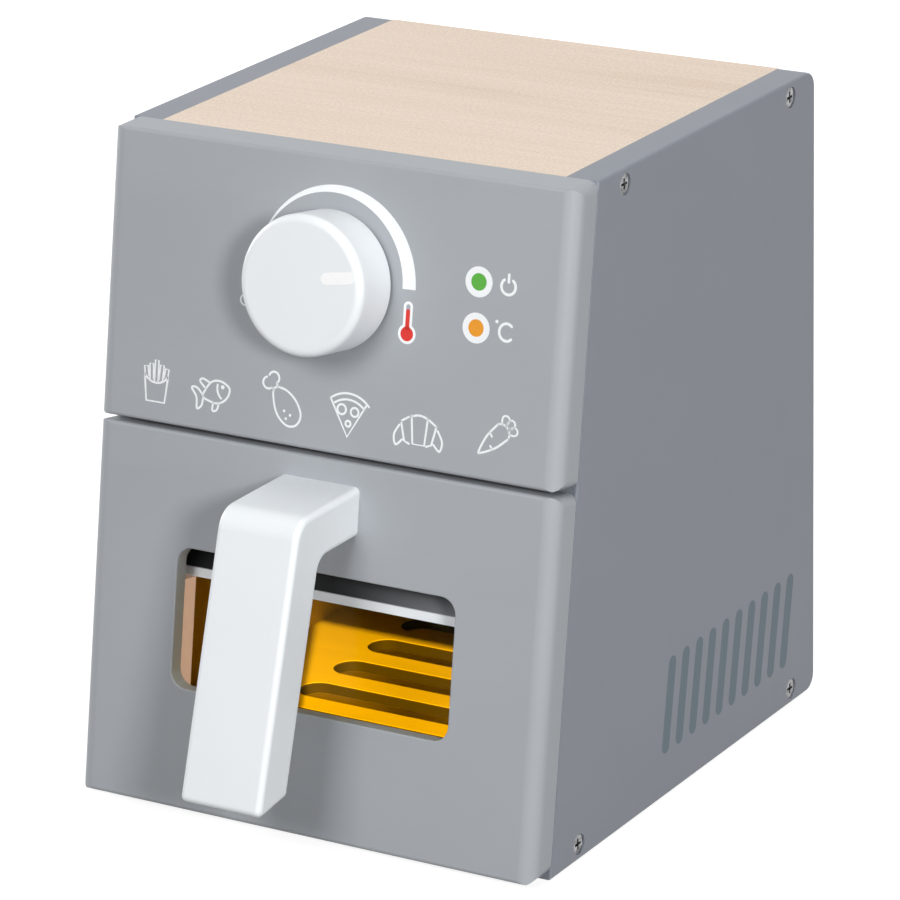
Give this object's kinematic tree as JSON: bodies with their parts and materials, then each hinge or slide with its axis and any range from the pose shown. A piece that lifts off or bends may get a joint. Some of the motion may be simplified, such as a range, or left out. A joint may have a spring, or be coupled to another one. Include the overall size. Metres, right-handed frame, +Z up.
{
  "type": "toy air fryer",
  "caption": "Toy air fryer in painted board: sloping front with a turning round knob, and a sliding drawer with an inverted-L handle and an amber window.",
  "frame": {"origin": "centre of the housing's footprint on the surface that it stands on", "axes": "+X to the object's right as seen from the front, +Y from the front to the back, +Z up"},
  "size_m": [0.157, 0.2193, 0.2],
  "materials": {
    "grey_paint": "satin light grey paint on board",
    "white_paint": "satin white paint on wood",
    "beech": "clear matt lacquer on pale beech",
    "plywood": "unpainted",
    "amber_acrylic": "clear amber, polished",
    "steel": "zinc plated",
    "brass": "turned",
    "nylon": "moulded"
  },
  "bodies": {
    "housing": {"side_panel_left": "grey_paint", "side_panel_right": "grey_paint", "top_board": "beech", "bottom_board": "grey_paint", "back_board": "grey_paint", "divider_board": "plywood", "control_panel": "grey_paint", "panel_dowels": "plywood", "side_screws_left": "steel", "side_screws_right": "steel", "runner_left": "plywood", "runner_right": "plywood", "drawer_stop": "plywood"},
    "drawer": {"drawer_front": "grey_paint", "window_pane": "amber_acrylic", "window_rail": "white_paint", "pane_frame": "plywood", "handle": "white_paint", "handle_screws": "steel", "drawer_side_left": "plywood", "drawer_side_right": "plywood", "drawer_back": "plywood", "drawer_base": "plywood", "drawer_slats": "plywood", "drawer_dowels": "plywood"},
    "knob_unit": {"knob": "white_paint", "knob_insert": "brass", "knob_bolt": "steel", "knob_washer_front": "nylon", "knob_washer_rear": "nylon", "knob_spring_washer": "steel"}
  },
  "joints": [
    {"name": "drawer_slide", "type": "slide", "parent": "housing", "child": "drawer", "axis": [0, -1, 0], "range_m": [0, 0.0989]},
    {"name": "knob_turn", "type": "hinge", "parent": "housing", "child": "knob_unit", "pos_m": [0, -0.06719, 0.16505], "axis": [0, -0.986, 0.1668], "continuous": true}
  ]
}
